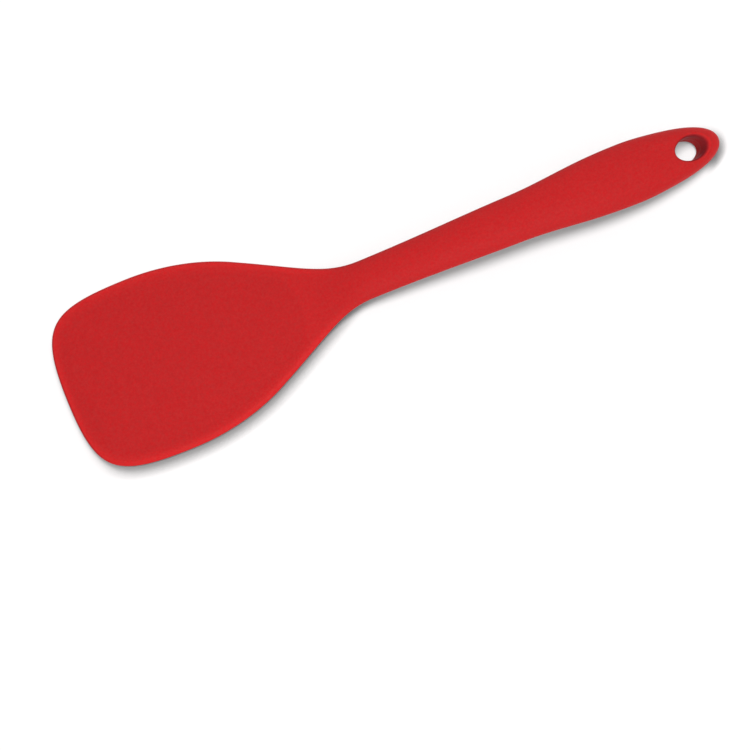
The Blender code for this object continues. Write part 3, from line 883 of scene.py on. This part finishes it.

# %% [markdown]
# The photograph shows matt silicone, with a broad soft sheen and no hard highlight. Its red is even and a
# little deeper on the panel. Painted light makes it lighter in the thin rim and towards the tip, and painted
# shade makes it deeper on the edges turned from the light. Clouds, a mottle and a speckle finer than a
# millimetre, in the colour and in the relief, keep it from looking painted, and so do specks that lean to
# brown. Part of that mottle may come from the compression of the photograph.
# The wall of the hole is in shade in the photograph. The lamps here don't leave it as dark, so its red is
# made deeper instead, and stays so under any light.
# The light that the silicone throws on other things is as strong as its red but has no colour, because the
# shadow in the photograph is a clean grey. A real tool would tint it.

# %% Red silicone
DEEP_RED = (0.462, 0.002, 0.004)
LIGHT_RED = (0.682, 0.0045, 0.0085)
DEEP_BROWN = (0.418, 0.016, 0.016)
LIGHT_BROWN = (0.638, 0.0225, 0.0205)
BORE_SHADE_RED = (0.27, 0.009, 0.014)

# How much each pattern and each measure lightens the red, and how far the specks lean to brown
CLOUDINESS = 0.16
MOTTLING = 0.55
SPECKLING = 0.60
PAINTED_RIM_LIGHT_AND_SHADE = 0.65
PANEL_DEEPER = 0.14
BROWNING = 1.6
GRAIN_DEPTH = 0.012 * MM

silicone = Finish("red_silicone", IOR=1.41, Specular_IOR_Level=0.25, Subsurface_Weight=0.12,
                  Subsurface_Scale=0.0015, Subsurface_Radius=(1.0, 0.15, 0.12))
clouds = silicone.noise(55, 3.0)
mottle = silicone.noise(620, 3.0)
speckle = silicone.noise(1700, 2.0)
grain = silicone.noise(5200, 2.0)
tone = 0.5 + CLOUDINESS * (clouds - 0.5) + MOTTLING * (mottle - 0.5) + SPECKLING * (speckle - 0.5)
# Painted light on the thin rim and the tip, and painted shade on the edges turned from the light
tone = tone + PAINTED_RIM_LIGHT_AND_SHADE * silicone.measure("rim") - PANEL_DEEPER * silicone.measure("panel")
specks = silicone.noise(1050, 2.0)
skin = silicone.mix(0.5 + BROWNING * (specks - 0.5), silicone.mix(tone, DEEP_RED, LIGHT_RED),
                    silicone.mix(tone, DEEP_BROWN, LIGHT_BROWN))
# Painted shade on the wall of the hanging hole
skin = silicone.mix(silicone.measure("bore"), skin, BORE_SHADE_RED)
brightness = silicone.node("ShaderNodeSeparateColor", None, {"Color": skin}).outputs["Red"]
silicone.surface(silicone.mix(silicone.ray("Is Diffuse Ray"), skin, brightness),
                 Roughness=0.62 + 0.14 * (mottle - 0.5) + 0.08 * (clouds - 0.5),
                 Normal=silicone.bump(grain + 0.6 * mottle, GRAIN_DEPTH))

# %% [markdown]
# The plate and the rivets inside are taken as spring steel, rolled along the length of the tool. Rolling
# leaves fine streaks, which are noise stretched along the tool, in the colour, the gloss and the relief.
# A picture of rolled steel could be laid on instead, but would need an unwrapping and a file of its own.

# %% Spring steel
DARK_STEEL = (0.45, 0.46, 0.47)
PALE_STEEL = (0.66, 0.66, 0.65)
STREAK_DEPTH = 0.006 * MM

steel = Finish("spring_steel", Metallic=1.0)
streaks = steel.noise(900, 3.0, (0.04, 1.0, 1.0))
stains = steel.noise(40, 4.0)
steel.surface(steel.mix(0.7 * streaks + 0.3 * stains, DARK_STEEL, PALE_STEEL),
              Roughness=0.26 + 0.22 * streaks + 0.10 * (stains - 0.5),
              Normal=steel.bump(streaks, STREAK_DEPTH))

# %% [markdown]
# The core is taken as nylon filled with glass fibre. Short pale fibres lie along the flow at its surface,
# and give it a dry, slightly streaky grey. Fibres of real geometry would be too fine to see, so they are
# noise.

# %% Glass-filled nylon
NYLON_GREY = (0.022, 0.022, 0.024)
FIBRE_GREY = (0.11, 0.11, 0.115)
FIBRE_DEPTH = 0.01 * MM

nylon = Finish("glass_filled_nylon", IOR=1.53)
fibres = nylon.smooth_step(nylon.noise(2600, 1.0, (0.16, 1.0, 1.0)), 0.58, 0.72)
flow = nylon.noise(70, 4.0, (0.4, 1.0, 1.0))
nylon.surface(nylon.mix(0.6 * fibres + 0.25 * flow, NYLON_GREY, FIBRE_GREY),
              Roughness=0.46 + 0.16 * flow + 0.08 * fibres,
              Normal=nylon.bump(fibres + 0.5 * flow, FIBRE_DEPTH))

# %% [markdown]
# Each piece takes the finish of what it is made of. The plate, the core and the rivets keep their CAD shapes,
# which are right as they are, and only get a better material.

# %% Hand out the finishes
def give_finish(piece, finish):
    piece.data.materials.clear()
    piece.data.materials.append(finish.material)


for piece in [cover, *plugs]:
    give_finish(piece, silicone)
for name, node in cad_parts.items():
    if name == "blade_plate" or name.startswith("core_rivet"):
        give_finish(node, steel)
    elif name.startswith("core_"):
        give_finish(node, nylon)
print("moulded pieces in silicone:", 1 + len(plugs))

# %% [markdown]
# The photograph looks straight down on the tool, from a little over half a metre, with the tool turned so
# that its handle rises to the right. The camera is turned instead, so the tool keeps its own frame.

# %% Camera
CAMERA_SPOT = (-0.02243, -0.03747, 0.560)
CAMERA_TURN = math.radians(-21.92)
LENS = 65.07
SENSOR = 36.0

camera_data = bpy.data.cameras.new("camera")
camera_data.lens = LENS
camera_data.sensor_width = SENSOR
camera = bpy.data.objects.new("camera", camera_data)
camera.location = CAMERA_SPOT
camera.rotation_euler = (0.0, 0.0, CAMERA_TURN)
bpy.context.scene.collection.objects.link(camera)
bpy.context.scene.camera = camera
bpy.context.scene.view_settings.view_transform = "Standard"
print(f"camera {CAMERA_SPOT[2]:.2f} m above the table, turned {math.degrees(CAMERA_TURN):.1f} degrees")

# %% [markdown]
# The tool lies on a plain white table: one large square face, a hair below the tool. A curved backdrop could
# stand behind it, but the photograph looks straight down and shows no horizon. The table is scenery and not
# part of the tool.

# %% Table
TABLE_SIZE = 3.0
TABLE_DROP = 0.02 * MM

bm = bmesh.new()
bmesh.ops.create_grid(bm, x_segments=1, y_segments=1, size=TABLE_SIZE / 2,
                      matrix=Matrix.Translation((0.0, 0.0, -TABLE_DROP)))
table_mesh = bpy.data.meshes.new("table")
bm.to_mesh(table_mesh)
bm.free()
table = bpy.data.objects.new("table", table_mesh)
bpy.context.scene.collection.objects.link(table)
print(f"table {TABLE_SIZE:.0f} m wide, {TABLE_DROP / MM:.2f} mm below the tool")

# %% [markdown]
# The shade that gathers where the tool meets the table comes from two Ambient Occlusion nodes, one beside the
# blade and one round the tip. The normal of each is tilted away from the side where the photograph has its
# shadow, so that it sees the tool from that side alone, and a smooth ramp shapes how the shade fades. More
# lamps on the table could deepen the shade too, but each would add a shadow of its own.

# %% White of the table and the shade on it
TABLE_WHITE = (0.935, 0.912, 0.912)
SHADE = (0.02, 0.02, 0.02)
CONTACT_REACH = 6.4 * MM
CONTACT_SHADE = 0.68
CONTACT_RAMP = (0.03, 0.37)
CONTACT_RAYS = 16
BLADE_TILT = (0.0, 0.97, 0.24)
BLADE_FADE = (-0.05, 0.02)
TIP_TILT = (-0.72, 0.65, 0.24)
TIP_FADE = (0.134, 0.142)

white = Finish("white_table", Roughness=0.9, Specular_IOR_Level=0.0)


def contact_shade(tilt):
    """Shade on the table under what a hemisphere round a tilted normal sees close by."""
    normal = white.node("ShaderNodeCombineXYZ", None, dict(zip("XYZ", tilt))).outputs["Vector"]
    open_sky = white.node("ShaderNodeAmbientOcclusion", {"samples": CONTACT_RAYS},
                          {"Distance": CONTACT_REACH, "Normal": normal}).outputs["AO"]
    return CONTACT_SHADE * white.smooth_step(1 - Value(white, open_sky), *CONTACT_RAMP)


table_along = Value(white, white.node("ShaderNodeSeparateXYZ", None, {"Vector": white.place}).outputs["X"])
contact = contact_shade(BLADE_TILT) * (1 - white.smooth_step(table_along, *BLADE_FADE))
contact = contact + contact_shade(TIP_TILT) * white.smooth_step(table_along, *TIP_FADE)
white.surface(white.mix(contact, TABLE_WHITE, SHADE))

# %% [markdown]
# Only the eye sees that white. Light that bounces meets a plain grey shader instead, which doesn't flood the
# sides of the tool and is quick to trace. A darker table would do the same, but would not look white.
# The back of the table is transparent, and so is its front for light that leaves the tool less than a
# millimetre above it, so that the underside shows, lit by the sky, when the tool is looked at from below.

# %% What each ray sees of the table
TABLE_GREY = (0.6, 0.6, 0.6, 1.0)
UNDER_REACH = 1.0 * MM


def either(share, first, second):
    """One shader or the other, by a share."""
    return white.node("ShaderNodeMixShader", None, {0: share, 1: first, 2: second}).outputs["Shader"]


grey = white.node("ShaderNodeBsdfDiffuse", None, {"Color": TABLE_GREY}).outputs["BSDF"]
clear = white.node("ShaderNodeBsdfTransparent").outputs["BSDF"]
back = Value(white, white.node("ShaderNodeNewGeometry").outputs["Backfacing"])
under_tool = (white.ray("Ray Length") < UNDER_REACH) * (1 - white.ray("Is Camera Ray"))
front = either(white.shown(), grey, white.shader.outputs["BSDF"])
white.join(white.tree.nodes["Material Output"],
           {"Surface": either(back.math("MAXIMUM", back, under_tool), front, clear)})
give_finish(table, white)
print("the table's material has", len(white.tree.nodes), "nodes")

# %% [markdown]
# The light is soft, as in a light tent. Four broad lamps round the tool model its handle and its rims. They
# light only the tool, so they throw no shadows on the table. One lamp for both would be simpler, but the
# photograph has even light on the tool and a clear shadow beside it.

# %% Lamps on the tool
def lamp_at(name, kind, spot, aim, pieces, **settings):
    """A lamp at a spot that points at an aim and lights only these objects."""
    data = bpy.data.lights.new(name, kind)
    for key, value in settings.items():
        setattr(data, key, value)
    lamp = bpy.data.objects.new(name, data)
    lamp.location = spot
    lamp.rotation_euler = (Vector(spot) - Vector(aim)).to_track_quat("Z", "Y").to_euler()
    bpy.context.scene.collection.objects.link(lamp)
    lit = bpy.data.collections.new(name + "_lights")
    for piece in pieces:
        lit.objects.link(piece)
    lamp.light_linking.receiver_collection = lit


def from_origin(azimuth, elevation, reach):
    """A spot in a direction from the middle of the tool."""
    around, up = math.radians(azimuth), math.radians(elevation)
    return Vector((math.cos(around) * math.cos(up), math.sin(around) * math.cos(up), math.sin(up))) * reach


middle = Vector((0.0, 0.0, 0.0))
tool_pieces = [cover, *plugs, *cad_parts.values()]
lamp_at("near_lamp", "AREA", from_origin(-90, 50, 0.5), middle, tool_pieces, size=0.4, energy=1.20)
lamp_at("far_lamp", "AREA", from_origin(90, 25, 1.3), middle, tool_pieces, size=1.2, energy=3.0)
lamp_at("left_lamp", "AREA", from_origin(165, 50, 1.3), middle, tool_pieces, size=1.2, energy=2.3)
lamp_at("right_lamp", "AREA", from_origin(15, 50, 1.3), middle, tool_pieces, size=1.2, energy=3.1)
print("pieces that these lamps light:", len(tool_pieces))

# %% [markdown]
# The shadow comes from one wide sun, which lights only the table, from the far side. A narrow spot in the
# camera's place shines through the hanging hole and lights the patch of table that is seen through it, which
# the sun leaves dark.

# %% Lamps on the table
lamp_at("table_lamp", "SUN", from_origin(97, 74.5, 1.0), middle, [table], angle=math.radians(25), energy=2.15)

hole_foot = Vector((hole_middle(0.0) - TOOL_LENGTH / 2, 0.0, 0.0))
hole_reach = (Vector(CAMERA_SPOT) - hole_foot).length
hole_beam = 2 * math.atan(HOLE_LENGTH / 2 / hole_reach)
lamp_at("hole_lamp", "SPOT", CAMERA_SPOT, hole_foot, [table], shadow_soft_size=2.0 * MM, energy=1.9,
        spot_size=hole_beam, spot_blend=0.2)
print(f"the spot through the hole is {math.degrees(hole_beam):.1f} degrees wide")

# %% [markdown]
# The rest of the light comes from a pale sky, the same in all directions. To the eye it is pure white, like
# the background of the photograph, and for lighting the tool it is about half as strong. An image of a studio
# would give richer reflections, but matt silicone hardly shows them.

# %% Sky
SKY = 0.47

world = bpy.data.worlds.new("light_tent")
bpy.context.scene.world = world
tent = Graph(world)
tent.join(tent.tree.nodes["Background"], {"Color": (1.0, 1.0, 1.0, 1.0),
                                          "Strength": SKY + (1 - SKY) * tent.shown()})
print("lamps:", ", ".join(sorted(lamp.name for lamp in bpy.data.lights)))

# %% [markdown]
